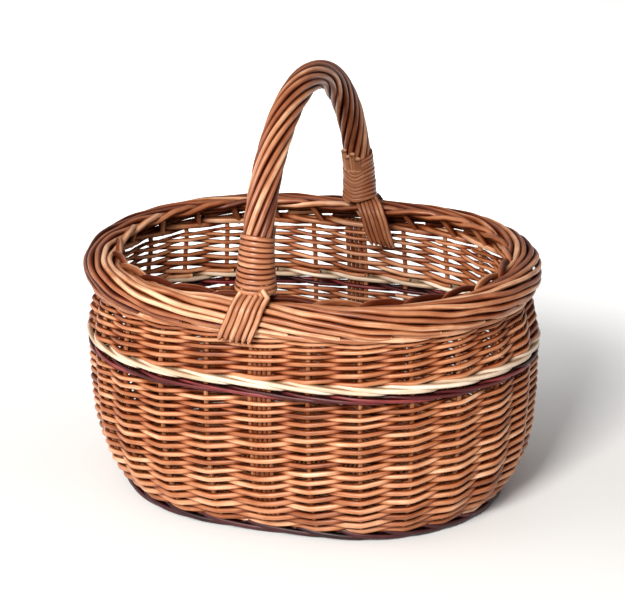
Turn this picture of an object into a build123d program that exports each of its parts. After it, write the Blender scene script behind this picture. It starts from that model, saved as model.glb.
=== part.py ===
"""Oval willow market basket with one fixed, roped bow handle.

Millimetres. +Z is up, +X runs along the long side and the handle stands in the plane x = 0.
The origin is on the ground under the middle of the basket.
Every band of weaving is a plain closed ring with the true outer shape of the woven band.
"""
from build123d import *
from math import asin, atan2, cos, degrees, radians, sin, sqrt, tan
import os

# plan: an oval of four tangent arcs, measured over the border
HALF_LENGTH = 220.0
HALF_WIDTH = 172.6
END_RADIUS = 170.5

# wall: how far its outer face stands from the border's outline at each height
WALL_PROFILE = [(0, -37), (10, -30), (20, -22), (40, -12), (70, -5), (110, -2), (155, -1), (175, -3.5), (202, -9.5)]
WALL_THICKNESS = 12.0
UPSET_TOP = 10.0
LOWER_RANDING_TOP = 142.0
MAROON_TOP = 150.0
CREAM_TOP = 160.0
UPPER_RANDING_TOP = 202.0
TOP_WALE_TOP = 212.6
TOP_WALE_OFFSETS = (-5.0, -3.0)
TOP_WALE_THICKNESS = 18.0

# border: the roll made by the turned-down stakes
BORDER_WIDTH = 40.0
BORDER_HEIGHT = 24.8
BORDER_TOP = TOP_WALE_TOP + BORDER_HEIGHT

# base: woven oval mat on split sticks
BASE_OFFSET = -49.0
BASE_Z = 8.0
BASE_THICKNESS = 8.0
CROSS_STICK_DIAMETER = 7.0
CROSS_STICK_X = (-99.0, -64.0, -24.0, 24.0, 64.0, 99.0)
LONG_STICK_DIAMETER = 5.0
LONG_STICK_PITCH = 5.4
SLATH_HALF_WIDTH = 14.0
SLATH_HALF_LENGTH = 107.0
EYE_HEIGHT = 13.0
EYE_LENGTH = 9.0

# stakes: upright rods that the wall is woven on
STAKE_COUNT = 26
STAKE_DIAMETER = 4.5
STAKE_IN_BASE = 12.0
STAKE_TOP = 224.0
STAKE_FOOT_OFFSET = -40.0

# handle: a thick bow, a roping of rods wound round it, and a binding on each leg
HANDLE_TURN = -2.0  # degrees round from square across the basket
BOW_DIAMETER = 16.0
BOW_HALF_SPAN = 145.0
BOW_SPRING_Z = 242.0
BOW_CROWN_Z = 400.0
BOW_CROWN_RADIUS = 130.0
BOW_TIP_DIAMETER = 7.0
BOW_TIP_Z = 199.0
ROPING_DIAMETER = 28.4
BINDING_TOP_Z = 288.0
BINDING_RADIUS_TOP = 14.8
BINDING_RADIUS_BOTTOM = 18.0
LINER_COUNT = 4
LINER_DIAMETER = 4.4
LINER_PITCH = 4.6
LINER_BOTTOM_Z = 24.0
LINER_TOP_Z = 293.0
LINER_STEP_ANGLE = 25.5

# tails: the ends of the roping rods, laid over the border beside each leg
TAIL_COUNT = 6
TAIL_DIAMETER = 5.0
TAIL_PITCH_TOP = 5.3
TAIL_PITCH_BOTTOM = 5.1
TAIL_ROOT = 4.0
TAIL_SHIFT = 21.0
OUTER_TAIL_END_Z = 204.5
INNER_TAIL_END_Z = 192.0


def write(shape, node):
    export_step(shape, f"parts/{node}.step")


def oval_arcs(half_length, half_width, end_radius):
    """Four tangent arcs as (centre x, centre y, radius, first angle, swept angle), angles in degrees."""
    reach = half_length - end_radius
    side_radius = (reach**2 + half_width**2 - end_radius**2) / (2 * (half_width - end_radius))
    drop = side_radius - half_width
    turn = degrees(atan2(drop, reach))
    return [
        (reach, 0, end_radius, -turn, 2 * turn),
        (0, -drop, side_radius, turn, 180 - 2 * turn),
        (-reach, 0, end_radius, 180 - turn, 2 * turn),
        (0, drop, side_radius, 180 + turn, 180 - 2 * turn),
    ]


PLAN = oval_arcs(HALF_LENGTH, HALF_WIDTH, END_RADIUS)


def wall_offset(z):
    """Outer face of the wall at height z, as a distance outside the border's outline."""
    for (z0, d0), (z1, d1) in zip(WALL_PROFILE, WALL_PROFILE[1:]):
        if z <= z1:
            return d0 + (d1 - d0) * (z - z0) / (z1 - z0)
    return WALL_PROFILE[-1][1]


def oval_ring(make_face):
    """Carry a section round the oval. make_face(plane) draws it; the plane's x is the distance outside."""
    ring = Part()
    for cx, cy, radius, first, swept in PLAN:
        outward = Vector(cos(radians(first)), sin(radians(first)), 0)
        start = Vector(cx, cy, 0) + outward * radius
        plane = Plane(origin=start, x_dir=outward, z_dir=outward.cross(Vector(0, 0, 1)))
        ring += revolve(make_face(plane), axis=Axis((cx, cy, 0), (0, 0, 1)), revolution_arc=swept)
    return ring


def band(outer, inner):
    """Ring of weaving between two faces, each a list of (distance outside, height) points from the bottom up."""
    def section(plane):
        corners = [plane.from_local_coords((x, z, 0)) for x, z in outer + inner[::-1]]
        return make_face(Polyline(*corners, close=True))

    return oval_ring(section)


def wall_band(z0, z1):
    """Ring that follows the wall's profile between two heights."""
    heights = [z0] + [z for z, _ in WALL_PROFILE if z0 < z < z1] + [z1]
    outer = [(wall_offset(z), z) for z in heights]
    return band(outer, [(x - WALL_THICKNESS, z) for x, z in outer])


def upset_ring():
    """Foot ring: flat underneath, and upright where it meets the edge of the base."""
    outer = [(wall_offset(z), z) for z in (0, UPSET_TOP)]
    return band(outer, [(BASE_OFFSET, z) for _, z in outer])


def top_wale_ring():
    outer = list(zip(TOP_WALE_OFFSETS, (UPPER_RANDING_TOP, TOP_WALE_TOP)))
    return band(outer, [(x - TOP_WALE_THICKNESS, z) for x, z in outer])


def soft_path(points):
    """Runs joined by tangent arcs, each as large as its two runs allow."""
    points = [Vector(*p) for p in points]
    radii = []
    for before, corner, after in zip(points, points[1:], points[2:]):
        run_in = corner - before
        run_out = after - corner
        half_turn = radians(run_in.get_angle(run_out)) / 2
        radii.append(0.45 * min(run_in.length, run_out.length) / tan(half_turn))
    return FilletPolyline(*points, radius=radii)


def rod(points, diameter):
    """Round rod along a path of runs and tangent arcs."""
    path = soft_path(points)
    section = Plane(origin=path @ 0, z_dir=path % 0) * Circle(diameter / 2)
    return sweep(section, path=path)


def plan_half_width(x, offset):
    """Half-width of the oval, moved out by offset, at a distance x along it."""
    reach, _, end_radius, turn, _ = PLAN[0]
    _, drop, side_radius, _, _ = PLAN[3]
    if abs(x) > reach + (end_radius + offset) * cos(radians(turn + PLAN[0][4])):
        return sqrt((end_radius + offset) ** 2 - (abs(x) - reach) ** 2)
    return sqrt((side_radius + offset) ** 2 - x**2) - drop


def plan_location(distance):
    """Place on the border's outline at a distance along it from the front's middle; local x is outward."""
    arcs = [PLAN[3], PLAN[0], PLAN[1], PLAN[2], PLAN[3]]
    lengths = [radians(swept) * radius for _, _, radius, _, swept in arcs]
    travelled = distance + lengths[0] / 2
    for (cx, cy, radius, first, _), length in zip(arcs, lengths):
        if travelled <= length:
            break
        travelled -= length
    angle = first + degrees(travelled / radius)
    spot = (cx + radius * cos(radians(angle)), cy + radius * sin(radians(angle)), 0)
    return Location(spot, (0, 0, angle))


# ---- stakes -------------------------------------------------------------------------------------

def stake_points():
    """Stake in its own upright plane: along the base, pricked up at the foot, then up inside the wall."""
    middle = WALL_THICKNESS / 2
    points = [(BASE_OFFSET - STAKE_IN_BASE, 0, BASE_Z), (STAKE_FOOT_OFFSET, 0, BASE_Z)]
    points += [(wall_offset(z) - middle, 0, z) for z, _ in WALL_PROFILE[2:]]
    points.append((wall_offset(UPPER_RANDING_TOP) - middle - 1, 0, STAKE_TOP))
    return points


def make_stakes():
    perimeter = sum(radians(swept) * radius for _, _, radius, _, swept in PLAN)
    stake = rod(stake_points(), STAKE_DIAMETER)
    stakes = [plan_location(perimeter * k / STAKE_COUNT) * stake for k in range(STAKE_COUNT)]
    for beside_leg in (0, STAKE_COUNT // 2):
        stakes[beside_leg] = turned(stakes[beside_leg])
    return stakes


# ---- handle -------------------------------------------------------------------------------------

def turned(shape):
    """The handle and the rods beside its legs stand a little round from square."""
    return Rot(0, 0, HANDLE_TURN) * shape


def bow_arcs():
    """Radius of the bow's side arcs, their centre's distance past the middle, and where they meet the crown."""
    rise = BOW_CROWN_Z - BOW_SPRING_Z
    _, _, _, turn, _ = oval_arcs(rise, BOW_HALF_SPAN, BOW_CROWN_RADIUS)[0]
    side_radius = oval_arcs(rise, BOW_HALF_SPAN, BOW_CROWN_RADIUS)[1][2]
    return side_radius, side_radius - BOW_HALF_SPAN, 90 + turn


def bow_point(height):
    """Centre of the bow's front leg at a height on its side arc."""
    side_radius, past, _ = bow_arcs()
    climb = asin((height - BOW_SPRING_Z) / side_radius)
    return Vector(0, past - side_radius * cos(climb), height)


def bow_wire(start_z):
    """Centre line of the bow from a height on the front leg over the crown to the same height behind."""
    side_radius, past, meet = bow_arcs()
    upright = Plane(origin=(0, 0, BOW_SPRING_Z), x_dir=(0, 1, 0), z_dir=(1, 0, 0))
    low = degrees(asin((start_z - BOW_SPRING_Z) / side_radius))
    crown_centre = BOW_CROWN_Z - BOW_SPRING_Z - BOW_CROWN_RADIUS
    back_leg = CenterArc((-past, 0), side_radius, low, meet - low)
    crown = CenterArc((0, crown_centre), BOW_CROWN_RADIUS, meet, 180 - 2 * meet)
    front_leg = CenterArc((past, 0), side_radius, 180 - meet, meet - low)
    return Wire((upright * (back_leg + crown + front_leg)).edges())


def along_bow(start_z, diameter):
    path = bow_wire(start_z)
    section = Plane(origin=path @ 0, z_dir=path % 0) * Circle(diameter / 2)
    return sweep(section, path=path)


def leg_cone(low_z, high_z, low_radius, high_radius):
    """Round taper along the front leg between two heights."""
    low = bow_point(max(low_z, BOW_SPRING_Z)) - Vector(0, 0, max(BOW_SPRING_Z - low_z, 0))
    high = bow_point(high_z)
    axis = high - low
    return Plane(origin=(low + high) / 2, z_dir=axis) * Cone(low_radius, high_radius, axis.length)


def to_back(shape):
    """The back of the basket repeats the front, turned half a turn about the vertical."""
    return Rot(0, 0, 180) * shape


def make_bow():
    tip = leg_cone(BOW_TIP_Z, BOW_SPRING_Z, BOW_TIP_DIAMETER / 2, BOW_DIAMETER / 2)
    return along_bow(BOW_SPRING_Z, BOW_DIAMETER) + tip + to_back(tip)


def make_liners(bow):
    """Rods pushed down the wall beside the front stake; their tops, shaved to fit, lie against the bow."""
    seat = (BOW_DIAMETER + LINER_DIAMETER) / 2 + 0.1
    liners = []
    for index in range(1, LINER_COUNT + 1):
        x = LINER_PITCH * index
        heights = [LINER_BOTTOM_Z] + [z for z, _ in WALL_PROFILE[3:]]
        points = [(x, -HALF_WIDTH - wall_offset(z) + WALL_THICKNESS / 2, z) for z in heights]
        angle = radians(LINER_STEP_ANGLE * index)
        for z in (BOW_SPRING_Z, (BOW_SPRING_Z + LINER_TOP_Z) / 2, LINER_TOP_Z):
            centre = bow_point(z)
            points.append((seat * sin(angle), centre.Y - seat * cos(angle), z))
        liners.append(rod(points, LINER_DIAMETER) - bow)
    return liners


def make_binding(inner_rods):
    """Whipping of split willow round the bow, the liners and the ends of the roping."""
    cone = leg_cone(BORDER_TOP, BINDING_TOP_Z, BINDING_RADIUS_BOTTOM, BINDING_RADIUS_TOP)
    return cone - inner_rods


def make_tails(side, uprights):
    """Fan of roping ends beside the front leg: side 1 over the outside of the border, -1 down its inside."""
    border_middle = -HALF_WIDTH + BORDER_WIDTH / 2
    clear = BORDER_WIDTH / 2 + TAIL_DIAMETER / 2 + 0.3
    top_z = BORDER_TOP + TAIL_DIAMETER / 2 + 0.3
    tail_end_z = OUTER_TAIL_END_Z if side > 0 else INNER_TAIL_END_Z
    tails = []
    for index in range(TAIL_COUNT):
        rank = index - (TAIL_COUNT - 1) / 2
        top_x = side * TAIL_ROOT + rank * TAIL_PITCH_TOP
        low_x = side * TAIL_ROOT + rank * TAIL_PITCH_BOTTOM - TAIL_SHIFT
        # along the fan: share of its sideways shift, of its reach from the border's middle, and height
        steps = [(0.0, 0.5, top_z + 1), (0.25, 0.78, top_z - 3), (0.55, 1.0, top_z - 13), (1.0, 1.0, tail_end_z)]
        points = [(top_x + (low_x - top_x) * t, border_middle - side * clear * out, z) for t, out, z in steps]
        tails.append(rod(points, TAIL_DIAMETER) - uprights)
    return tails


def make_handle():
    """Every solid of the handle by its node's name."""
    bow = make_bow()
    liners = make_liners(bow)
    tails = {where: make_tails(side, [bow] + liners) for where, side in (("outer", 1), ("inner", -1))}
    binding = make_binding([bow] + liners + tails["outer"] + tails["inner"])
    roping = along_bow(BINDING_TOP_Z, ROPING_DIAMETER) - bow - liners - [to_back(liner) for liner in liners]
    handle = {"handle_bow": [bow], "handle_roping": [roping - binding - to_back(binding)]}
    front = {"handle_liners": liners, "binding": [binding]}
    front |= {f"{where}_tails": rods for where, rods in tails.items()}
    for name, solids in front.items():
        handle[f"front_{name}"] = solids
        handle[f"back_{name}"] = [to_back(solid) for solid in solids]
    return {node: [turned(solid) for solid in solids] for node, solids in handle.items()}


# ---- base ---------------------------------------------------------------------------------------

def make_long_sticks():
    half = HALF_LENGTH + BASE_OFFSET
    sticks = []
    for rank in (-1, 0, 1):
        y = rank * LONG_STICK_PITCH
        reach = half - (END_RADIUS + BASE_OFFSET) + sqrt((END_RADIUS + BASE_OFFSET) ** 2 - y**2) - 1
        stick = Cylinder(LONG_STICK_DIAMETER / 2, 2 * reach, rotation=(0, 90, 0))
        sticks.append(Pos(0, y, BASE_Z) * stick)
    return sticks


def make_cross_sticks():
    """Short sticks, each split at its middle into an eye that the long sticks pass through."""
    slot = Box(2 * EYE_LENGTH, 3 * LONG_STICK_PITCH, LONG_STICK_DIAMETER)
    sticks = []
    for x in CROSS_STICK_X:
        half = plan_half_width(x, BASE_OFFSET) - 1
        stick = Cylinder(CROSS_STICK_DIAMETER / 2, 2 * half, rotation=(90, 0, 0))
        eye = fillet(Box(EYE_LENGTH, 2 * SLATH_HALF_WIDTH, EYE_HEIGHT).edges().filter_by(Axis.X), 5.0)
        sticks.append(Pos(x, 0, BASE_Z) * (stick + eye - slot))
    return sticks


def make_slath_binding(long_sticks):
    """Wrapping of the long sticks between the cross sticks."""
    half = EYE_LENGTH / 2
    edges = [-SLATH_HALF_LENGTH] + list(CROSS_STICK_X) + [SLATH_HALF_LENGTH]
    wraps = []
    for left, right in zip(edges, edges[1:]):
        low = left + (half if left in CROSS_STICK_X else 0)
        high = right - (half if right in CROSS_STICK_X else 0)
        block = Box(high - low, 2 * SLATH_HALF_WIDTH, BASE_THICKNESS)
        wraps.append(Pos((low + high) / 2, 0, BASE_Z) * block - long_sticks)
    return wraps


def make_base_weave(long_sticks, cross_sticks, stakes):
    outline = []
    for cx, cy, radius, first, swept in PLAN:
        outline.append(CenterArc((cx, cy), radius + BASE_OFFSET, first, swept))
    mat = Pos(0, 0, BASE_Z - BASE_THICKNESS / 2) * extrude(make_face(Wire(outline)), BASE_THICKNESS)
    slot = Box(2 * SLATH_HALF_LENGTH, 2 * SLATH_HALF_WIDTH, 2 * BASE_THICKNESS)
    return mat - Pos(0, 0, BASE_Z) * slot - long_sticks - cross_sticks - stakes


# ---- border -------------------------------------------------------------------------------------

def make_border():
    def section(plane):
        middle = Pos(-BORDER_WIDTH / 2, TOP_WALE_TOP + BORDER_HEIGHT / 2)
        return plane * middle * SlotOverall(BORDER_WIDTH, BORDER_HEIGHT)

    return oval_ring(section)


def main():
    os.makedirs("parts", exist_ok=True)
    stakes = make_stakes()
    for number, stake in enumerate(stakes, 1):
        write(stake, f"stake_{number:02d}")

    handle = make_handle()
    for node, solids in handle.items():
        write(solids[0] if len(solids) == 1 else Compound(solids), node)

    liners = handle["front_handle_liners"] + handle["back_handle_liners"]
    uprights = stakes + liners
    write(upset_ring() - stakes, "upset_wale")
    write(wall_band(UPSET_TOP, LOWER_RANDING_TOP) - uprights, "lower_randing")
    write(wall_band(LOWER_RANDING_TOP, MAROON_TOP) - uprights, "maroon_wale")
    write(wall_band(MAROON_TOP, CREAM_TOP) - uprights, "cream_wale")
    write(wall_band(CREAM_TOP, UPPER_RANDING_TOP) - uprights, "upper_randing")
    legs = [solid for node, solids in handle.items() if node != "handle_roping" for solid in solids]
    write(top_wale_ring() - stakes - legs, "top_wale")
    write(make_border() - stakes - legs, "border")

    long_sticks = make_long_sticks()
    cross_sticks = make_cross_sticks()
    write(Compound(long_sticks), "base_long_sticks")
    write(Compound(cross_sticks), "base_cross_sticks")
    write(Compound(make_slath_binding(long_sticks)), "base_slath_binding")
    write(make_base_weave(long_sticks, cross_sticks, stakes), "base_weave")


main()
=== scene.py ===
"""The woven looks of an oval willow market basket: every rod is a swept tube, laid as a maker lays it.

Metres, in the CAD frame: +X along the basket, the handle near the plane x = 0, the ground at z = 0.
"Distance" is measured along the border's outline from the middle of the front, towards +X.
"Stake count" is the same distance counted in stakes, so it is a whole number at each stake.
"""
import math

import bpy
import numpy as np
from mathutils import Matrix, Vector


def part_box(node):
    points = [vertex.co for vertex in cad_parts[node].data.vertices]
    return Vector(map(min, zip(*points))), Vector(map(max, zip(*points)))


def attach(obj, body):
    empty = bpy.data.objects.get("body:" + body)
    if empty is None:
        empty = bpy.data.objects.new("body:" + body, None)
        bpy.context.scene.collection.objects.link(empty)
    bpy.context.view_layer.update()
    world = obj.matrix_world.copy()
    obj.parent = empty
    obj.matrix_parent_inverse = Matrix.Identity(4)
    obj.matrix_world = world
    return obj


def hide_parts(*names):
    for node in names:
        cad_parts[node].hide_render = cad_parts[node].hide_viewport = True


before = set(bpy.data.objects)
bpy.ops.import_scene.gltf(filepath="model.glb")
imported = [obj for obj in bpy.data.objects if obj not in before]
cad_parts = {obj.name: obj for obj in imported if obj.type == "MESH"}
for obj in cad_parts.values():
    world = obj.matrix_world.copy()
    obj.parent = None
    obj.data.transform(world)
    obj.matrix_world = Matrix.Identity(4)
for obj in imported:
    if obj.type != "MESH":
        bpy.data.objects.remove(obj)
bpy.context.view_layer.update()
RANDOM = np.random.default_rng(11)
MM = 0.001

# ---- driving dimensions ---------------------------------------------------------------------------

_, BORDER_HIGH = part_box("border")
HALF_LENGTH = BORDER_HIGH.x
HALF_WIDTH = BORDER_HIGH.y
END_RADIUS = HALF_WIDTH - 2.1 * MM
STAKES = 26
HANDLE_STAKES = (0, STAKES // 2)

# the wall's outer face: how far it stands outside the border's outline at each height
WALL_HEIGHTS = np.array([0, 10, 20, 40, 70, 110, 155, 175, 202, 207, 212]) * MM
WALL_OFFSETS = np.array([-37, -30, -22, -12, -5, -2, -1, -3.5, -9.5, -7, -6]) * MM
WALL_THICKNESS = 12 * MM
STAKE_RADIUS = 2.4 * MM
# how much higher the bands stand at the front and at the +X end, and the share of it at each height
LEAN_TO_FRONT = 6.5 * MM
LEAN_TO_END = 1 * MM
LEAN_HEIGHTS = np.array([0, 60, 150, 166, 205, 240]) * MM
LEAN_SHARES = np.array([0, 0.45, 1, 1, 0.1, 0])

LINERS = 4
LINER_PITCH = 4.6 * MM
LINER_RADIUS = 2.2 * MM

BOW_SPRING_Z = 242 * MM
BOW_CROWN_Z = 400 * MM
BOW_HALF_SPAN = 145 * MM
BOW_CROWN_RADIUS = 130 * MM
BOW_RADIUS = 8 * MM
HANDLE_TURN = math.radians(-2)

BASE_Z = 8 * MM
BASE_OFFSET = -49 * MM


# ---- plan of the basket ---------------------------------------------------------------------------

def oval_arcs():
    """Four tangent arcs, from the front one round by +X: centre x and y, radius, first and swept angle."""
    reach = HALF_LENGTH - END_RADIUS
    side_radius = (reach**2 + HALF_WIDTH**2 - END_RADIUS**2) / (2 * (HALF_WIDTH - END_RADIUS))
    drop = side_radius - HALF_WIDTH
    turn = math.atan2(drop, reach)
    return np.array([
        (0, drop, side_radius, math.pi + turn, math.pi - 2 * turn),
        (reach, 0, END_RADIUS, -turn, 2 * turn),
        (0, -drop, side_radius, turn, math.pi - 2 * turn),
        (-reach, 0, END_RADIUS, math.pi - turn, 2 * turn),
    ])


ARCS = oval_arcs()
ARC_LENGTHS = ARCS[:, 2] * ARCS[:, 4]
ARC_STARTS = np.concatenate([[0], np.cumsum(ARC_LENGTHS)])
PERIMETER = ARC_STARTS[-1]
SPACING = PERIMETER / STAKES


def outward(distance):
    """Outward directions (flat) and points of the border's outline at distances along it."""
    along = (np.asarray(distance, float) + ARC_LENGTHS[0] / 2) % PERIMETER
    index = np.clip(np.searchsorted(ARC_STARTS, along, side="right") - 1, 0, 3)
    centre_x, centre_y, radius, first, _ = ARCS[index].T
    angle = first + (along - ARC_STARTS[index]) / radius
    direction = np.stack([np.cos(angle), np.sin(angle), np.zeros_like(angle)], -1)
    point = direction * radius[..., None]
    point[..., 0] += centre_x
    point[..., 1] += centre_y
    return direction, point


def place(distance, offset, height):
    """Points at a distance along the outline, an offset outside it, and a height."""
    direction, point = outward(distance)
    spot = point + direction * np.asarray(offset, float)[..., None]
    spot[..., 2] = height
    return spot, direction


# the handle's liners stand beside two of the stakes, so rods pass each of those groups as one wide stake
GROUP_WIDTH = LINERS * LINER_PITCH
GROUP_HALF_COUNT = 0.13


def stake_knots():
    """Stake counts and the distances they stand at, for one turn before the front and four after it."""
    counts, distances = [], []
    for turn in range(-1, 4):
        for stake in range(STAKES):
            count = turn * STAKES + stake
            if stake in HANDLE_STAKES:
                counts += [count - GROUP_HALF_COUNT, count + GROUP_HALF_COUNT]
                first = count * SPACING + HALF_WIDTH * math.sin(HANDLE_TURN)
                distances += [first, first + GROUP_WIDTH]
            else:
                counts.append(count)
                distances.append(count * SPACING)
    return np.array(counts), np.array(distances)


KNOT_COUNTS, KNOT_DISTANCES = stake_knots()


def distance_at(count):
    """The distance at which a stake count is reached."""
    return np.interp(count, KNOT_COUNTS, KNOT_DISTANCES)


def smooth_profile():
    """The wall's outer face, rounded between its driving points."""
    heights = np.arange(-20, 240) * MM
    offsets = np.interp(heights, WALL_HEIGHTS, WALL_OFFSETS)
    slope = (WALL_OFFSETS[1] - WALL_OFFSETS[0]) / (WALL_HEIGHTS[1] - WALL_HEIGHTS[0])
    offsets = np.where(heights < 0, WALL_OFFSETS[0] + slope * heights, offsets)
    window = np.ones(11) / 11
    for _ in range(2):
        offsets = np.convolve(np.pad(offsets, 5, mode="edge"), window, mode="valid")
    return heights, offsets


PROFILE_HEIGHTS, PROFILE_OFFSETS = smooth_profile()


def wall(distance, height, depth):
    """Points inside the wall: depth is measured outwards from its middle, square to its face.

    The bands aren't quite level: woven by eye, they stand highest at the front and at the +X end.
    """
    direction, _ = outward(distance)
    lean = direction[..., 0] * LEAN_TO_END - direction[..., 1] * LEAN_TO_FRONT
    height = height + lean * np.interp(height, LEAN_HEIGHTS, LEAN_SHARES)
    middle = np.interp(height, PROFILE_HEIGHTS, PROFILE_OFFSETS) - WALL_THICKNESS / 2
    ahead = np.interp(height + MM, PROFILE_HEIGHTS, PROFILE_OFFSETS) - WALL_THICKNESS / 2
    lean = (ahead - middle) / MM
    square = np.sqrt(1 + lean**2)
    return place(distance, middle + depth / square, height - depth * lean / square)


# ---- rods -----------------------------------------------------------------------------------------

def unit(vectors):
    return vectors / np.maximum(np.linalg.norm(vectors, axis=-1, keepdims=True), 1e-12)


class Rods:
    """Rods gathered into one mesh, with what their material needs to know about each."""

    def __init__(self):
        self.points, self.faces, self.face_uvs = [], [], []
        self.grain, self.tone, self.tip, self.hollow_shade = [], [], [], []
        self.caps, self.cap_uvs = [], []
        self.count = 0
        self.ribbon = 0.0
        self.girths = []

    def add(self, path, radius, side, tone=None, sides=8, flat=1.0, rounded=True, depth=None, hollow_shade=None):
        """One rod along path. side points out of the weave and flat thins the rod along it.

        tone is its shade, from 0 to 1, left to chance without one. rounded narrows its two ends a little.
        depth is how far the rod's middle stands from the middle of a wall that has two open faces, and sets
        the painted shade on the rod's flanks and inner side; the hollow value is painted shade for how deep
        in the weave it lies, from 0 to 1, the same all round. Without either, the rod's side turned away from
        side gets painted shade.
        """
        path = np.asarray(path, float)
        steps = np.linalg.norm(np.diff(path, axis=0), axis=1)
        along = np.concatenate([[0], np.cumsum(steps)])
        radius = np.broadcast_to(np.asarray(radius, float), along.shape).copy()
        if rounded:
            radius[[0, -1]] *= 0.8
        tangent = unit(np.gradient(path, along, axis=0))
        side = np.broadcast_to(np.asarray(side, float), path.shape)
        first = unit(side - tangent * (side * tangent).sum(1, keepdims=True))
        second = np.cross(tangent, first)
        turn = np.linspace(0, 2 * np.pi, sides, endpoint=False)
        round_x, round_y = np.cos(turn) * flat, np.sin(turn)
        ring = round_x[None, :, None] * first[:, None] + round_y[None, :, None] * second[:, None]
        points = path[:, None] + ring * radius[:, None, None]
        rings = len(path)
        index = self.count + np.arange(rings * sides).reshape(rings, sides)
        following = np.roll(index, -1, axis=1)
        quads = np.stack([index[:-1], index[1:], following[1:], following[:-1]], -1).reshape(-1, 4)
        share = np.arange(sides) / sides
        start = np.broadcast_to(along[:-1, None], (rings - 1, sides)) + self.ribbon
        end = np.broadcast_to(along[1:, None], (rings - 1, sides)) + self.ribbon
        low = np.broadcast_to(share[None], (rings - 1, sides))
        self.face_uvs.append(np.stack([start, end, low, low + 1 / sides], -1).reshape(-1, 4))
        self.points.append(points.reshape(-1, 3))
        self.faces.append(quads)
        self.caps += [index[0][::-1], index[-1]]
        self.cap_uvs += [(self.ribbon, share[::-1]), (along[-1] + self.ribbon, share)]
        shift = RANDOM.uniform(0, 5)
        facing = np.broadcast_to(np.cos(turn), (rings, sides))
        local = np.stack([facing * radius[:, None],
                          np.broadcast_to(np.sin(turn), (rings, sides)) * radius[:, None],
                          np.broadcast_to(along[:, None] + shift, (rings, sides))], -1)
        self.grain.append(local.reshape(-1, 3) + np.array([shift, -shift, 0]))
        self.tone.append(np.full(rings * sides, RANDOM.uniform(0, 1) if tone is None else tone))
        self.tip.append(np.repeat(np.minimum(along, along[-1] - along), sides))
        # painted shade, from 0 to 1, that the material lays on each point
        if hollow_shade is not None:
            self.hollow_shade.append(np.full(rings * sides, hollow_shade))
        elif depth is None:
            # painted shade on the side turned away from side
            self.hollow_shade.append(np.clip((0.85 - facing) / 0.75, 0, 0.88).ravel())
        else:
            # painted shade on the flanks, which lie between this rod and the next, and on its inner side in
            # the middle of the wall
            flank = np.clip((0.75 - np.abs(facing)) / 0.65, 0, 1)
            stand = np.abs(depth[:, None] + facing * radius[:, None])
            sunk_shade = 1 - stand / (1.1 * radius[:, None])
            self.hollow_shade.append(np.clip(np.maximum(flank, sunk_shade), 0, 1).ravel())
        self.count += rings * sides
        self.ribbon += along[-1] + 4 * MM
        self.girths.append(2 * math.pi * radius.mean())

    def piece(self, name, slot, nodes, material):
        """Makes the object that stands for CAD nodes, its rods side by side as strips in its UV map."""
        points = np.concatenate(self.points)
        quads = np.concatenate(self.faces)
        mesh = bpy.data.meshes.new(name)
        mesh.from_pydata(points, [], quads.tolist() + [cap.tolist() for cap in self.caps])
        mesh.shade_smooth()
        self.write_uvs(mesh)
        for label, kind, values in (("grain", "FLOAT_VECTOR", self.grain), ("tone", "FLOAT", self.tone),
                                    ("tip", "FLOAT", self.tip), ("hollow_shade", "FLOAT", self.hollow_shade)):
            attribute = mesh.attributes.new(label, kind, "POINT")
            field = "vector" if kind == "FLOAT_VECTOR" else "value"
            attribute.data.foreach_set(field, np.concatenate(values).astype(np.float32).ravel())
        mesh.materials.append(material)
        obj = bpy.data.objects.new(name, mesh)
        bpy.context.scene.collection.objects.link(obj)
        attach(obj, "root")
        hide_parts(*nodes)

    def write_uvs(self, mesh):
        """The rods end to end are one long ribbon, cut into equal rows that fill the UV square."""
        width = math.sqrt(self.ribbon * max(self.girths)) + 1e-6
        margin = 0.06
        start, end, low, high = np.concatenate(self.face_uvs).T
        row = np.floor(start / width)
        rows = row.max() + 1
        longest = (end - row * width).max()
        u0, u1 = (start - row * width) / longest, (end - row * width) / longest
        v0, v1 = ((row + margin + value * (1 - 2 * margin)) / rows for value in (low, high))
        quad_uvs = np.stack([u0, v0, u1, v0, u1, v1, u0, v1], -1).ravel()
        cap_uvs = []
        for ribbon, share in self.cap_uvs:
            cap_row = min(math.floor(ribbon / width), rows - 1)
            u = min((ribbon - cap_row * width) / longest, 1)
            cap_uvs.append(np.stack([np.full(len(share), u),
                                     (cap_row + margin + share * (1 - 2 * margin)) / rows], -1).ravel())
        layer = mesh.uv_layers.new(name="OFBake")
        layer.data.foreach_set("uv", np.concatenate([quad_uvs] + cap_uvs).astype(np.float32))


def wobble(along, size, length):
    """A slow, small wander, different for each rod."""
    total = np.zeros_like(along, dtype=float)
    for octave in (1.0, 2.3):
        phase = along / length * octave * 2 * np.pi + RANDOM.uniform(0, 2 * np.pi)
        total += np.sin(phase) * RANDOM.uniform(0.4, 1)
    return total * size / 2


# ---- materials ------------------------------------------------------------------------------------

# how dark the painted shade in the hollows of the weave gets, up to 1
PAINTED_HOLLOW_SHADE = 0.92
COLOUR_PLACES = (0.0, 0.38, 0.66, 1.0)
PITH_LENGTH = 0.6 * MM


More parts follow.
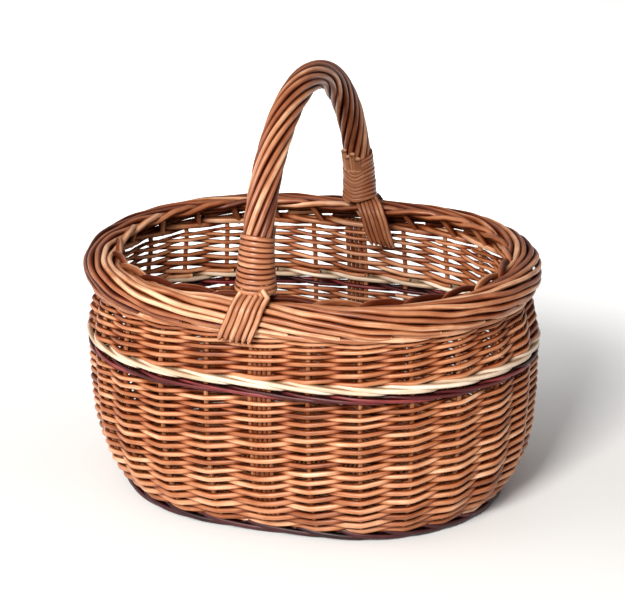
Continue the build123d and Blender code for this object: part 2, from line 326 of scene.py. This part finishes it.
def willow(name, colours, roughness=0.42, gloss=0.35, grain_depth=1.0, tone_share=0.45):
    """Varnished willow. colours run from the darkest streak to the palest, as linear RGB.

    gloss is the varnish's weight, and tone_share how much of a rod's colour is its own tone.
    """
    material = bpy.data.materials.new(name)
    material.use_nodes = True
    nodes, links = material.node_tree.nodes, material.node_tree.links
    nodes.clear()

    def node(kind, **inputs):
        made = nodes.new(kind)
        for key, value in inputs.items():
            made.inputs[key].default_value = value
        return made

    def read(attribute, output):
        made = nodes.new("ShaderNodeAttribute")
        made.attribute_name = attribute
        return made.outputs[output]

    def math_node(operation, a, b, clamp=False):
        made = nodes.new("ShaderNodeMath")
        made.operation = operation
        made.use_clamp = clamp
        for socket, value in zip(made.inputs, (a, b)):
            if isinstance(value, (int, float)):
                socket.default_value = value
            else:
                links.new(value, socket)
        return made.outputs[0]

    def noise(vector, scale, detail, stretch):
        mapping = nodes.new("ShaderNodeMapping")
        mapping.inputs["Scale"].default_value = stretch
        links.new(vector, mapping.inputs["Vector"])
        made = node("ShaderNodeTexNoise", Scale=scale, Detail=detail, Roughness=0.6)
        links.new(mapping.outputs[0], made.inputs["Vector"])
        return made.outputs["Fac"]

    grain = read("grain", "Vector")
    streak = noise(grain, 700, 4, (1, 1, 0.035))
    blotch = noise(grain, 22, 3, (1, 1, 1))
    fine = noise(grain, 2600, 2, (1, 1, 0.05))
    tone = math_node("MULTIPLY", read("tone", "Fac"), tone_share)
    streaks = math_node("MULTIPLY", math_node("SUBTRACT", streak, 0.5), 0.9)
    blotches = math_node("MULTIPLY", math_node("SUBTRACT", blotch, 0.5), 0.9)
    streaked = math_node("ADD", tone, streaks)
    centred = math_node("ADD", blotches, 0.5 - tone_share / 2)
    level = math_node("ADD", streaked, centred, clamp=True)
    # painted shade: darker colour, and less varnish gloss and shine, in the hollows of the weave
    sunk_shade = math_node("MULTIPLY", read("hollow_shade", "Fac"), PAINTED_HOLLOW_SHADE)
    clear = math_node("SUBTRACT", 1, sunk_shade)
    ramp = nodes.new("ShaderNodeValToRGB")
    stops = ramp.color_ramp.elements
    stops[0].position, stops[1].position = COLOUR_PLACES[0], COLOUR_PLACES[-1]
    for position in COLOUR_PLACES[1:-1]:
        stops.new(position)
    for stop, colour in zip(stops, colours):
        stop.color = (*colour, 1)
    links.new(level, ramp.inputs["Fac"])
    # a rod's cut end shows a little of its pale pith
    cut = math_node("LESS_THAN", read("tip", "Fac"), PITH_LENGTH)
    pith = nodes.new("ShaderNodeMix")
    pith.data_type = "RGBA"
    links.new(math_node("MULTIPLY", cut, 0.35), pith.inputs["Factor"])
    links.new(ramp.outputs["Color"], pith.inputs["A"])
    pith.inputs["B"].default_value = (*colours[-1], 1)
    shader = node("ShaderNodeBsdfPrincipled")
    # painted shade: the varnish's gloss and shine are dimmed in the hollows too
    links.new(math_node("MULTIPLY", clear, gloss), shader.inputs["Coat Weight"])
    links.new(math_node("MULTIPLY", clear, 0.32), shader.inputs["Specular IOR Level"])
    shader.inputs["Coat Roughness"].default_value = 0.3
    # light that bounces between the rods comes out deeper in colour as well as dimmer
    deeper = nodes.new("ShaderNodeGamma")
    links.new(pith.outputs["Result"], deeper.inputs["Color"])
    links.new(math_node("ADD", math_node("MULTIPLY", sunk_shade, 1.1), 1), deeper.inputs["Gamma"])
    # painted shade: mixed towards a darker brown in the hollows
    shaded = nodes.new("ShaderNodeMix")
    shaded.data_type = "RGBA"
    links.new(math_node("MULTIPLY", sunk_shade, 0.85), shaded.inputs["Factor"])
    links.new(deeper.outputs[0], shaded.inputs["A"])
    shaded.inputs["B"].default_value = (*(0.35 * value for value in colours[0]), 1)
    links.new(shaded.outputs["Result"], shader.inputs["Base Color"])
    streak_rough = math_node("MULTIPLY", streak, 0.25)
    links.new(math_node("ADD", streak_rough, roughness - 0.12), shader.inputs["Roughness"])
    bump = node("ShaderNodeBump", Strength=0.35 * grain_depth, Distance=0.0004)
    links.new(math_node("ADD", math_node("MULTIPLY", fine, 0.4), streak), bump.inputs["Height"])
    links.new(bump.outputs[0], shader.inputs["Normal"])
    output = nodes.new("ShaderNodeOutputMaterial")
    links.new(shader.outputs[0], output.inputs["Surface"])
    return material


BUFF = willow("buff_willow", [(0.11, 0.018, 0.003), (0.39, 0.130, 0.048), (0.62, 0.285, 0.143),
                              (0.96, 0.63, 0.42)], gloss=0.10)
BORDER_BUFF = willow("border_willow", [(0.10, 0.018, 0.004), (0.30, 0.092, 0.034), (0.46, 0.185, 0.082),
                                       (0.84, 0.50, 0.31)], gloss=0.15, tone_share=0.75)
HANDLE_BUFF = willow("handle_willow", [(0.10, 0.019, 0.005), (0.29, 0.093, 0.038), (0.45, 0.190, 0.092),
                                       (0.88, 0.54, 0.34)], gloss=0.2, tone_share=0.55)
CREAM = willow("cream_willow", [(0.30, 0.15, 0.07), (0.52, 0.35, 0.22), (0.69, 0.53, 0.39),
                                (0.90, 0.78, 0.64)], gloss=0.12, tone_share=0.6)
MAROON = willow("maroon_willow", [(0.020, 0.001, 0.001), (0.075, 0.006, 0.007), (0.150, 0.016, 0.016),
                                  (0.36, 0.070, 0.064)], roughness=0.42, gloss=0.05)
FOOT = willow("foot_willow", [(0.006, 0.001, 0.001), (0.028, 0.004, 0.005), (0.062, 0.010, 0.012),
                              (0.17, 0.042, 0.042)], roughness=0.45, gloss=0.05)
SKEIN = willow("split_willow", [(0.14, 0.030, 0.008), (0.32, 0.105, 0.042), (0.47, 0.205, 0.100),
                                (0.84, 0.52, 0.33)], roughness=0.36, gloss=0.34, grain_depth=0.7,
               tone_share=0.3)


# ---- wall -----------------------------------------------------------------------------------------

# how near the rods' path between the stakes comes to straight lines with sharp turns, up to 1
ZIGZAG = 0.985


def make_stakes():
    """Upright rods, from inside the base up into the border; the border's rods are their turned-down tops."""
    heights = np.linspace(14, 210, 50) * MM
    foot_offsets = np.array([BASE_OFFSET - 12 * MM, BASE_OFFSET, -43 * MM])
    foot_heights = np.array([BASE_Z, BASE_Z, 8.6 * MM])
    for stake in range(STAKES):
        rods = Rods()
        distance = stake * SPACING
        upright, _ = wall(np.full_like(heights, distance), heights, wobble(heights, 0.4 * MM, 0.1))
        lying, _ = place(np.full_like(foot_heights, distance), foot_offsets, foot_heights)
        direction, _ = outward(distance)
        across = np.cross((0, 0, 1), direction)
        if stake in HANDLE_STAKES:
            lying, upright = turned(lying), turned(upright)
        # painted shade: a quarter dark all round, as the stakes stand inside the weave
        rods.add(np.concatenate([lying, upright]), STAKE_RADIUS, across, tone=RANDOM.uniform(0.35, 0.8),
                 hollow_shade=0.25)
        node = f"stake_{stake + 1:02d}"
        rods.piece(node, "willow_buff", [node], BUFF)


def make_randing(node, rows, taper, thickness, low_reach):
    """French randing: one rod starts at each stake and climbs one row for each stake it passes.

    rows is how far it climbs, taper its tip's thickness over its butt's, and thickness that of the rods over
    the height of a row. A rod is in front of the wall at each even row and behind it at each odd one.
    low_reach is the share of the full swing that the first row has, and the row from which it is full.
    """
    low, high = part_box(node)[0].z - 2 * MM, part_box(node)[1].z
    pitch = 2 * (high - low) / ((1 + taper) * (rows + thickness))
    # both ends lie behind a stake, where the basket's outside hides them
    last = rows + 0.2 if rows % 2 else rows + 1.2
    steps = np.arange(-1.12, last, 0.1)
    inside = np.clip(steps, 0, rows)
    climb = pitch * (inside - (1 - taper) * inside**2 / (2 * rows)) + 0.3 * pitch * (steps - inside)
    girth = pitch * (1 - (1 - taper) * inside / rows) * thickness / 2
    rods = Rods()
    for stake in range(STAKES):
        distance = distance_at(stake + steps + STAKES)
        radius = girth * (RANDOM.uniform(0.93, 1.06) + 0.03 * np.sin(steps * RANDOM.uniform(0.3, 0.6)))
        swing = np.arcsin(ZIGZAG * np.cos(np.pi * steps)) / np.arcsin(ZIGZAG)
        reach = (STAKE_RADIUS + radius) * np.interp(steps, (0, low_reach[1]), (low_reach[0], 1))
        depth = reach * swing + wobble(distance, 0.35 * MM, 0.21)
        height = low + girth[0] + climb + wobble(distance, 0.4 * MM, 0.17)
        path, direction = wall(distance, height, depth)
        rods.add(path, radius, direction, sides=8, depth=depth)
    return rods


def make_wale(node, radius, first_stake, lift=0.0):
    """One round of three-rod waling: each rod passes outside two stakes, then behind the next one.

    lift raises the round above the middle of its CAD node.
    """
    low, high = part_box(node)[0].z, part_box(node)[1].z
    period, crossing = 3, 0.6
    climb = (high - low) / 2 - radius * 0.85
    rods = Rods()
    steps = np.arange(-0.1, STAKES + period - (STAKES % period) + 0.1, 0.1)
    for rod in range(period):
        phase = steps % period
        from_stake = np.minimum(phase, period - phase)
        depth = (STAKE_RADIUS + radius) * (1.06 - 2.1 * np.exp(-((from_stake / crossing) ** 2)))
        inside = np.minimum(from_stake / crossing, 1)
        fall = np.clip((period / 2 - phase) / (period / 2 - crossing), -1, 1) * climb * inside
        distance = distance_at(first_stake + rod + steps)
        height = (low + high) / 2 + lift + fall + wobble(distance, 0.3 * MM, 0.3)
        path, direction = wall(distance, height, depth)
        rods.add(path, radius * RANDOM.uniform(0.95, 1.04), direction, sides=10, depth=depth)
    return rods


# ---- border ---------------------------------------------------------------------------------------

# a border rod's way round the roll: stakes passed, offset from the outline and height, in mm
BORDER_WAY = np.array([
    (-0.3, -15, 206), (-0.22, -18, 213), (-0.13, -24, 223), (-0.02, -28.8, 230.4), (0.25, -32, 233.9),
    (0.6, -34.2, 233.8), (1.0, -33.6, 231.0), (1.3, -31.6, 228.8), (1.6, -29.2, 228.8), (2.0, -25.8, 230.2),
    (3.1, -19.3, 232.8), (4.2, -12.8, 232.8), (5.15, -6.6, 230.4), (6.1, -3.2, 225.4), (7.1, -2.3, 219.6),
    (8.0, -3.0, 214.6), (8.6, -6, 211.2),
])
# the middle of the roll: offset from the outline and height
CORE_OFFSET, CORE_HEIGHT = -20 * MM, 221 * MM


def make_border():
    """The rolled rim, of the stakes' turned-down tops.

    Each one bends over the last one's at the inner edge, runs inside the next stake, then works its way
    across the roll and down its outer face as later ones come in.
    """
    rods = Rods()
    hidden = slice(20, None, 2)
    key = BORDER_WAY[:, 0]
    fine = np.linspace(key[0], key[-1], 150)
    way = np.stack([smooth_through(key, BORDER_WAY[:, column], fine) for column in (1, 2)], -1) * MM
    for stake in range(STAKES):
        distance = (stake + fine + 0.05 * np.sin(fine + stake)) * SPACING
        settle = np.clip(fine / 2, 0, 1)
        offset = way[:, 0] + settle * wobble(distance, 1.1 * MM, 0.17)
        height = way[:, 1] + settle * wobble(distance, 1.1 * MM, 0.13)
        path, direction = place(distance, offset, height)
        # out of the roll's middle, but level and inwards where the rod still rises like a stake
        rising = np.interp(fine, (-0.25, 0.05), (1, 0))
        out = direction * (offset - CORE_OFFSET - rising * 14 * MM)[:, None]
        out[:, 2] = (height - CORE_HEIGHT) * (1 - rising)
        radius = np.linspace(3.25, 2.6, len(path)) * MM * RANDOM.uniform(0.9, 1.08)
        # painted shade on each rod's side turned towards the roll's middle
        rods.add(path, radius, out, sides=12)
        # each has a mate beside it that stays hidden in the middle of the roll, painted deep in shade
        mate, _ = place(distance, CORE_OFFSET + 0.5 * (offset - CORE_OFFSET),
                        CORE_HEIGHT + 0.6 * (height - CORE_HEIGHT))
        rods.add(mate[hidden], radius[hidden], out[hidden], sides=6, hollow_shade=0.7)
    rods.piece("border", "willow_border", ["border"], BORDER_BUFF)


def smooth_through(keys, values, at):
    """Smooth curve through values (monotone between them), by cubic steps."""
    slopes = np.diff(values) / np.diff(keys)
    before, after = slopes[:-1], slopes[1:]
    total = np.where(before + after == 0, 1, before + after)
    inner = np.where(before * after > 0, 2 * before * after / total, 0)
    tangents = np.concatenate([[slopes[0]], inner, [slopes[-1]]])
    index = np.clip(np.searchsorted(keys, at, side="right") - 1, 0, len(keys) - 2)
    step = keys[index + 1] - keys[index]
    t = (at - keys[index]) / step
    return ((2 * t**3 - 3 * t**2 + 1) * values[index] + (t**3 - 2 * t**2 + t) * step * tangents[index]
            + (-2 * t**3 + 3 * t**2) * values[index + 1] + (t**3 - t**2) * step * tangents[index + 1])


# ---- handle ---------------------------------------------------------------------------------------

def bow_line():
    """The bow's centre line, evenly spaced: its distances from the front foot, and its points."""
    samples = 200
    rise = BOW_CROWN_Z - BOW_CROWN_RADIUS - BOW_SPRING_Z
    reach = BOW_HALF_SPAN - BOW_CROWN_RADIUS
    side_radius = BOW_CROWN_RADIUS + (rise**2 + reach**2) / (2 * reach)
    side_middle = side_radius - BOW_HALF_SPAN
    turn = math.atan2(rise, side_middle)
    side = np.linspace(0, turn, samples)
    crown = np.linspace(turn, np.pi - turn, samples)[1:-1]
    y = np.concatenate([side_middle - side_radius * np.cos(side), -BOW_CROWN_RADIUS * np.cos(crown)])
    z = np.concatenate([BOW_SPRING_Z + side_radius * np.sin(side),
                        BOW_CROWN_Z - BOW_CROWN_RADIUS + BOW_CROWN_RADIUS * np.sin(crown)])
    y = np.concatenate([y, -y[:samples][::-1]])
    z = np.concatenate([z, z[:samples][::-1]])
    points = np.stack([np.zeros_like(y), y, z], -1)
    along = np.concatenate([[0], np.cumsum(np.linalg.norm(np.diff(points, axis=0), axis=1))])
    even = np.linspace(0, along[-1], 2 * samples)
    return even, np.stack([np.interp(even, along, points[:, axis]) for axis in range(3)], -1)


BOW_ALONG, BOW_POINTS = bow_line()
BOW_TANGENTS = unit(np.gradient(BOW_POINTS, BOW_ALONG, axis=0))
BOW_SIDE = np.array([1.0, 0, 0])


def round_bow(along, angle, radius):
    """Points round the bow. The angle is 0 on its inner side and grows towards +X."""
    centre = np.stack([np.interp(along, BOW_ALONG, BOW_POINTS[:, axis]) for axis in range(3)], -1)
    tangent = unit(np.stack([np.interp(along, BOW_ALONG, BOW_TANGENTS[:, axis]) for axis in range(3)], -1))
    inner = np.cross(tangent, BOW_SIDE)
    ring = inner * np.cos(angle)[..., None] + BOW_SIDE * np.sin(angle)[..., None]
    return centre + ring * np.asarray(radius)[..., None], ring


def make_handle():
    """The bow, and eleven rods wound round it from leg to leg."""
    core = Rods()
    core.add(turned(BOW_POINTS[::4]), BOW_RADIUS, BOW_SIDE, sides=16)
    core.piece("handle_bow", "willow_stick", ["handle_bow"], HANDLE_BUFF)
    strands = Rods()
    count, thickness, twist = 11, 2.95 * MM, -2 * np.pi / 0.260
    along = np.linspace(8 * MM, BOW_ALONG[-1] - 8 * MM, 200)
    for strand in range(count):
        angle = 2 * np.pi * strand / count + twist * (along - along[0]) + wobble(along, 0.08, 0.25)
        path, ring = round_bow(along, angle, BOW_RADIUS + thickness + wobble(along, 0.3 * MM, 0.1))
        strands.add(turned(path), thickness * RANDOM.uniform(0.93, 1.06), turned(ring), sides=12)
    strands.piece("handle_roping", "willow_border", ["handle_roping"], HANDLE_BUFF)


def turned(path):
    """Points turned about the upright axis, as the handle and the rods beside its legs stand."""
    cosine, sine = math.cos(HANDLE_TURN), math.sin(HANDLE_TURN)
    x, y, z = np.moveaxis(path, -1, 0)
    return np.stack([x * cosine - y * sine, x * sine + y * cosine, z], -1)


def on_leg(path, back):
    """Points drawn for the square front leg, moved to the front or the back leg as it stands."""
    path = turned(path)
    return path * np.array([-1, -1, 1]) if back else path


def make_binding(back, widest):
    """Split willow wound round a leg, from just above the border upwards; its turns dip on the inner side."""
    rods = Rods()
    turns, samples = 11, 40
    length, narrowest, deepest = 49 * MM, 14.7 * MM, 8.5 * MM
    climb = np.linspace(0, turns, turns * samples + 1)
    along = 0.5 * MM + climb / turns * length
    angle = 2 * np.pi * climb + np.pi * 0.1
    flare = 1 - climb / turns
    from_inner = np.abs((angle + np.pi) % (2 * np.pi) - np.pi)
    dip = -deepest * (1 - 0.6 * flare) * np.exp(-((from_inner / 0.6) ** 2))
    radius = narrowest + (widest - narrowest) * flare**1.4 + 0.25 * MM * np.sin(climb * 2.1)
    path, ring = round_bow(np.maximum(along + dip, 0), angle, radius)
    path[:, 2] += np.minimum(along + dip, 0)
    half_width = length / turns / 2 * 1.02
    rods.add(on_leg(path, back), half_width, on_leg(ring, back), flat=0.45, sides=12, tone=0.55)
    return rods


# rods cut off just above the binding: angle round the bow, and how far along and outside its middle line
# each one ends, in mm
BUTTS = ((0.62, 60, 15.4), (0.3, 54, 16.4), (-0.02, 58, 15.8), (-0.34, 52, 16.4))
BUTT_START, BUTT_START_STAND = 36, 14.6
BUTT_RADIUS = 3.0 * MM


def make_liners(back):
    """Four rods beside the leg's stake, down in the wall, and four whose cut tops show above the binding."""
    rods = Rods()
    heights = np.linspace(20, 212, 50) * MM
    for liner in range(1, LINERS + 1):
        distance = np.full_like(heights, liner * LINER_PITCH)
        path, _ = wall(distance, heights, wobble(heights, 0.3 * MM, 0.12))
        # painted shade: a quarter dark all round, inside the wall
        rods.add(on_leg(path, back), LINER_RADIUS, (1, 0, 0), tone=RANDOM.uniform(0.3, 0.7), hollow_shade=0.25)
    for angle, reach, stand in BUTTS:
        along = np.linspace(BUTT_START, reach, 8) * MM
        radius = np.linspace(BUTT_START_STAND, stand, 8) * MM
        path, ring = round_bow(along, np.full_like(along, angle), radius)
        # painted shade: slight, all round
        rods.add(on_leg(path, back), BUTT_RADIUS, on_leg(ring, back), tone=0.85, rounded=False, hollow_shade=0.1)
    return rods


TAILS = 6
# the tails' way down: share of the slant done, distance out of the border's middle and height, in mm
OUTER_WAY = np.array([(0, 1, 256), (0.14, 4, 248), (0.23, 9, 241.5), (0.28, 16, 237.4),
                      (0.40, 22.3, 228.5), (0.70, 22.8, 213), (1, 18, 200)])
INNER_WAY = np.array([(0, -1, 256), (0.19, -4, 248), (0.37, -10, 241.5), (0.54, -17.5, 238.5),
                      (0.72, -23.6, 229), (0.89, -22.5, 210), (1, -20, 196)])
# shares of that way, and at each the gap between two tails and the whole fan's sideways shift, in mm
FAN_PLACES = (0, 0.17, 0.33, 1)
OUTER_GAPS, OUTER_SHIFTS, OUTER_SLANT = (2.6, 3.4, 5.4, 5.7), (2, 4.5, 8.5, 7.5), 20
INNER_GAPS, INNER_SHIFTS, INNER_SLANT = (2.6, 3.8, 4.6, 4.5), (3, 2, 1, -6), 23


def make_tails(inner, back):
    """Ends of the roping, laid flat over the outside or the inside of the border."""
    rods = Rods()
    way, gaps, shifts, slant, girth = (
        (INNER_WAY, INNER_GAPS, INNER_SHIFTS, INNER_SLANT, 2.45 * MM) if inner else
        (OUTER_WAY, OUTER_GAPS, OUTER_SHIFTS, OUTER_SLANT, 2.75 * MM))
    fine = np.linspace(0, 1, 40)
    share, out, height = (smooth_through(np.linspace(0, 1, len(way)), column, fine) for column in way.T)
    pointed = np.interp(fine, (0, 0.93, 1), (1, 1, 0.5))
    for tail in range(TAILS):
        rank = tail - (TAILS - 1) / 2
        spread = np.interp(fine, FAN_PLACES, gaps) * rank
        shift = np.interp(fine, FAN_PLACES, shifts) - share * slant
        tone = RANDOM.uniform(0.1, 0.6) if back else RANDOM.uniform(0.5, 0.9)
        y = -(HALF_WIDTH + CORE_OFFSET) - out * MM + wobble(fine, 0.3 * MM, 0.8)
        path = np.stack([(spread + shift) * MM, y, height * MM], -1)
        ring = np.broadcast_to((0.0, 1 if inner else -1, 0.3), path.shape)
        radius = girth * RANDOM.uniform(0.9, 1.05) * pointed
        rods.add(on_leg(path, back), radius, on_leg(ring, back), tone=tone, sides=10)
    return rods


# ---- base: an oval mat ----------------------------------------------------------------------------

STICK_X = np.array([-99, -64, -24, 24, 64, 99]) * MM
END_STICKS = 7
# the first round's end radius, and half of its straight sides; then the same of the last one
SLATH_RADIUS = 14 * MM
SLATH_HALF_LENGTH = 104 * MM
BASE_EDGE = END_RADIUS + BASE_OFFSET
BASE_STRAIGHT = HALF_LENGTH - END_RADIUS


def make_base_sticks():
    """Sticks across the base, and the three long ones that run through their middles."""
    cross = Rods()
    for x in STICK_X:
        half = math.sqrt(BASE_EDGE**2 - max(abs(x) - BASE_STRAIGHT, 0)**2)
        path = np.stack([np.full(40, x), np.linspace(-half, half, 40), np.full(40, BASE_Z)], -1)
        cross.add(path, 3.5 * MM, (1, 0, 0), sides=10)
    cross.piece("base_cross_sticks", "willow_stick", ["base_cross_sticks"], BUFF)
    long_low, long_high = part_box("base_long_sticks")
    long_sticks = Rods()
    for rank in (-1, 0, 1):
        x = np.linspace(long_low.x, long_high.x, 60)
        path = np.stack([x, np.full(60, rank * 5.4 * MM), BASE_Z + 0.5 * MM * np.sin(x / 0.02)], -1)
        long_sticks.add(path, 2.5 * MM, (0, 1, 0), sides=10)
    long_sticks.piece("base_long_sticks", "willow_stick", ["base_long_sticks"], BUFF)


def make_slath_binding():
    """Split willow wound round the long sticks, from each cross stick to the next."""
    binding = Rods()
    pitch, half_width, half_height = 4.4 * MM, 10.2 * MM, 4.3 * MM
    for left, right in zip(STICK_X[:-1], STICK_X[1:]):
        turns = int((right - left) / pitch)
        wound = np.linspace(0, turns, turns * 16)
        x = left + (right - left) * wound / turns
        angle = wound * 2 * np.pi
        path = np.stack([x, half_width * np.cos(angle), BASE_Z + half_height * np.sin(angle)], -1)
        ring = np.stack([np.zeros_like(x), np.cos(angle), np.sin(angle)], -1)
        binding.add(path, 1.9 * MM, ring, flat=0.7, sides=8)
    binding.piece("base_slath_binding", "willow_buff", ["base_slath_binding"], BUFF)


def make_base_weave():
    """Rounds of two rods each, which cross between the sticks, and plain rounds along the wall's foot."""
    weave = Rods()
    pitch, step = 5.3 * MM, 5 * MM
    for turn in range(int((BASE_EDGE - SLATH_RADIUS) / pitch)):
        radius = SLATH_RADIUS + (turn + 0.5) * pitch
        share = (radius - SLATH_RADIUS) / (BASE_EDGE - SLATH_RADIUS)
        reach = SLATH_HALF_LENGTH + (BASE_STRAIGHT - SLATH_HALF_LENGTH) * share
        length = 4 * reach + 2 * np.pi * radius
        x, y, passed = stadium(np.linspace(0, length, int(length / step)), reach, radius)
        for strand in (0, 1):
            swing = np.pi * (passed + strand)
            scale = 1 + 0.9 * MM * np.sin(swing) / radius
            path = np.stack([x * scale, y * scale, BASE_Z + 2.9 * MM * np.cos(swing)], -1)
            weave.add(path, 1.85 * MM, (0, 0, 1), sides=6)
    distance = np.linspace(0, PERIMETER, 260)
    for offset in np.arange(-60, -44, 3.9):
        height = BASE_Z + wobble(distance, 1.2 * MM, SPACING)
        path, _ = place(distance, np.full_like(distance, offset * MM), height)
        weave.add(path, 2.1 * MM, (0, 0, 1), sides=6)
    weave.piece("base_weave", "willow_buff", ["base_weave"], BUFF)


def stadium(along, reach, radius):
    """A round of the base: points along a stadium, and how many sticks it has passed at each."""
    bend = np.pi * radius
    corners = np.cumsum([0, 2 * reach, bend, 2 * reach, bend])
    part = np.clip(np.searchsorted(corners, along, side="right") - 1, 0, 3)
    into = along - corners[part]
    angle = into / radius
    x = np.choose(part, [-reach + into, reach + radius * np.sin(angle),
                         reach - into, -reach - radius * np.sin(angle)])
    y = np.choose(part, [np.full_like(into, -radius), -radius * np.cos(angle),
                         np.full_like(into, radius), radius * np.cos(angle)])
    stick = np.interp(x, STICK_X, np.arange(len(STICK_X)))
    side_sticks = len(STICK_X) - 1
    passed = np.choose(part, [stick, side_sticks + into / bend * END_STICKS,
                              2 * side_sticks + END_STICKS - stick,
                              2 * side_sticks + END_STICKS + into / bend * END_STICKS])
    return x, y, passed


# ---- everything -----------------------------------------------------------------------------------

def make_basket():
    make_stakes()
    bands = [
        ("upset_wale", make_wale("upset_wale", 2.8 * MM, 16, 2.4 * MM), "willow_maroon", FOOT),
        ("lower_randing", make_randing("lower_randing", 31, 0.75, 1.24, (0.4, 7)), "willow_buff", BUFF),
        ("maroon_wale", make_wale("maroon_wale", 2.1 * MM, 18), "willow_maroon", MAROON),
        ("cream_wale", make_wale("cream_wale", 2.6 * MM, 20), "willow_cream", CREAM),
        ("upper_randing", make_randing("upper_randing", 10, 0.78, 1.12, (1, 1)), "willow_buff", BUFF),
        ("top_wale", make_wale("top_wale", 3.1 * MM, 22, 2.0 * MM), "willow_border", BORDER_BUFF),
    ]
    for node, rods, slot, material in bands:
        rods.piece(node, slot, [node], material)
    make_border()
    make_handle()
    for leg, back, widest in (("front", False, 18.2 * MM), ("back", True, 16.6 * MM)):
        node = f"{leg}_binding"
        make_binding(back, widest).piece(node, "willow_skein", [node], SKEIN)
        node = f"{leg}_handle_liners"
        make_liners(back).piece(node, "willow_stick", [node], HANDLE_BUFF)
        for where, inner in (("outer", False), ("inner", True)):
            node = f"{leg}_{where}_tails"
            make_tails(inner, back).piece(node, "willow_border", [node], HANDLE_BUFF)
    make_base_sticks()
    make_slath_binding()
    make_base_weave()


# ---- studio ---------------------------------------------------------------------------------------

CAMERA_SPOT = (0.5843, -1.7984, 0.8778)
CAMERA_TARGET = (0.00065, 0.0, 0.1814)
CAMERA_ROLL = math.radians(-0.67)
LENS = 120.8


def plain_material(name, colour, roughness):
    material = bpy.data.materials.new(name)
    material.use_nodes = True
    shader = material.node_tree.nodes["Principled BSDF"]
    shader.inputs["Base Color"].default_value = (*colour, 1)
    shader.inputs["Roughness"].default_value = roughness
    return material


def look_at(obj, target, roll=0.0):
    aim = (Vector(target) - obj.location).to_track_quat("-Z", "Y")
    obj.rotation_euler = (aim.to_matrix() @ Matrix.Rotation(roll, 3, "Z")).to_euler()


def make_area_light(name, spot, size, power, colour=(1, 1, 1), target=(0, 0, 0.15)):
    light = bpy.data.lights.new(name, "AREA")
    light.shape = "RECTANGLE"
    light.size, light.size_y = size
    light.energy = power
    light.color = colour
    obj = bpy.data.objects.new(name, light)
    obj.location = spot
    look_at(obj, target)
    bpy.context.scene.collection.objects.link(obj)


def make_studio():
    mesh = bpy.data.meshes.new("floor")
    half = 12.0
    corners = [(-half, -half, 0), (half, -half, 0), (half, half, 0), (-half, half, 0)]
    mesh.from_pydata(corners, [], [(0, 1, 2, 3)])
    floor = bpy.data.objects.new("floor", mesh)
    mesh.materials.append(plain_material("pale_floor", (0.86, 0.86, 0.85), 0.9))
    bpy.context.scene.collection.objects.link(floor)

    world = bpy.data.worlds.new("studio")
    world.use_nodes = True
    background = world.node_tree.nodes["Background"]
    background.inputs["Color"].default_value = (1, 1, 1, 1)
    background.inputs["Strength"].default_value = 0.38
    bpy.context.scene.world = world
    make_area_light("key_light", (-0.15, -2.5, 1.75), (0.9, 0.9), 118, (1, 0.98, 0.95))
    make_area_light("fill_light", (-1.9, -1.2, 1.6), (1.5, 1.5), 12)
    make_area_light("back_light", (-0.4, 0.9, 1.1), (2.2, 0.5), 36, target=(-0.75, 2.1, 0))
    bpy.context.scene.view_settings.view_transform = "Standard"

    camera = bpy.data.cameras.new("camera")
    camera.lens = LENS
    camera.sensor_width = 36
    camera.clip_end = 50
    obj = bpy.data.objects.new("camera", camera)
    obj.location = CAMERA_SPOT
    look_at(obj, CAMERA_TARGET, CAMERA_ROLL)
    bpy.context.scene.collection.objects.link(obj)
    bpy.context.scene.camera = obj


make_basket()
make_studio()
